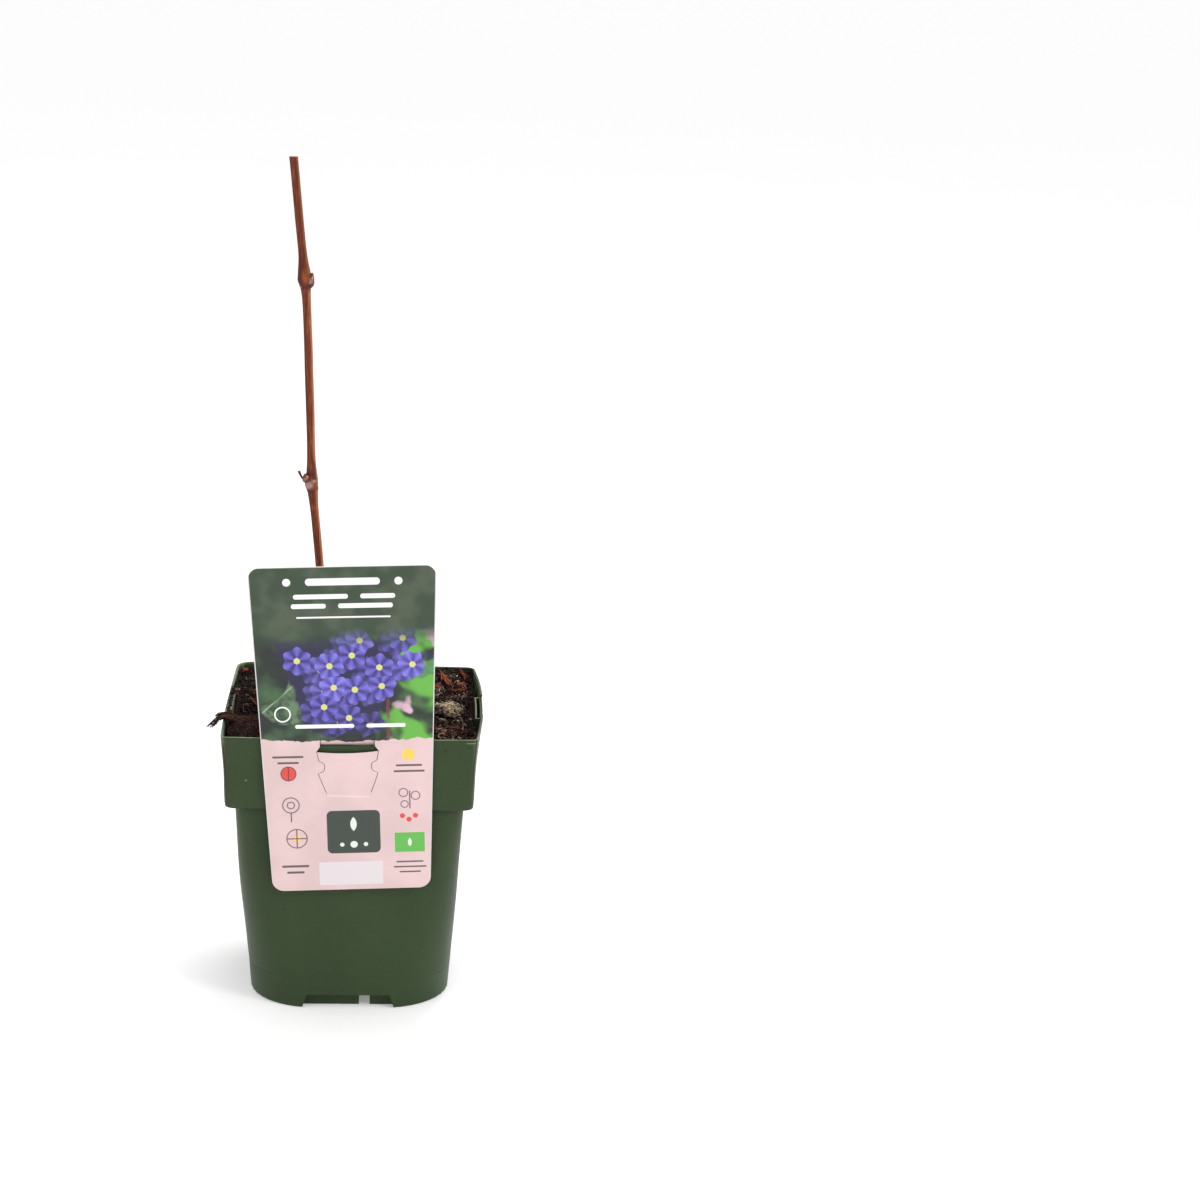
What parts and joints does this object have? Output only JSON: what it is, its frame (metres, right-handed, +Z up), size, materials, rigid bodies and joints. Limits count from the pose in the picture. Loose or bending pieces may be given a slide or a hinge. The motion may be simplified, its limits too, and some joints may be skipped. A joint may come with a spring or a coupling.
{
  "type": "potted grapevine",
  "caption": "Dormant leafless young grapevine: a slender jointed cane with buds, rising from peat in a tapered square pot, with a printed label hooked over the front rim.",
  "frame": {"origin": "middle of the pot's flat underside, at ground level", "axes": "+Z up along the pot and the cane, -Y to the front where the label hangs, +X to the right as seen from the front"},
  "size_m": [0.1161, 0.1124, 0.3554],
  "materials": {
    "pot": "satin",
    "soil": "matte",
    "cane": "satin",
    "bud": "satin",
    "label": "satin",
    "chip": "matte",
    "clump": "matte",
    "fibre": "matte"
  },
  "bodies": {
    "root": {"pot": "pot", "soil": "soil", "cane": "cane", "base_bud": "bud", "lower_bud": "bud", "upper_bud": "bud", "tendril_stub": "bud", "hang_label": "label", "bark_chip_1": "chip", "bark_chip_2": "chip", "bark_chip_3": "chip", "bark_chip_4": "chip", "bark_chip_5": "chip", "bark_chip_6": "chip", "bark_chip_7": "chip", "bark_chip_8": "chip", "bark_chip_9": "chip", "bark_chip_10": "chip", "bark_chip_11": "chip", "bark_chip_12": "chip", "bark_chip_13": "chip", "bark_chip_14": "chip", "peat_clump": "clump", "fibre_tuft": "fibre"}
  },
  "joints": []
}
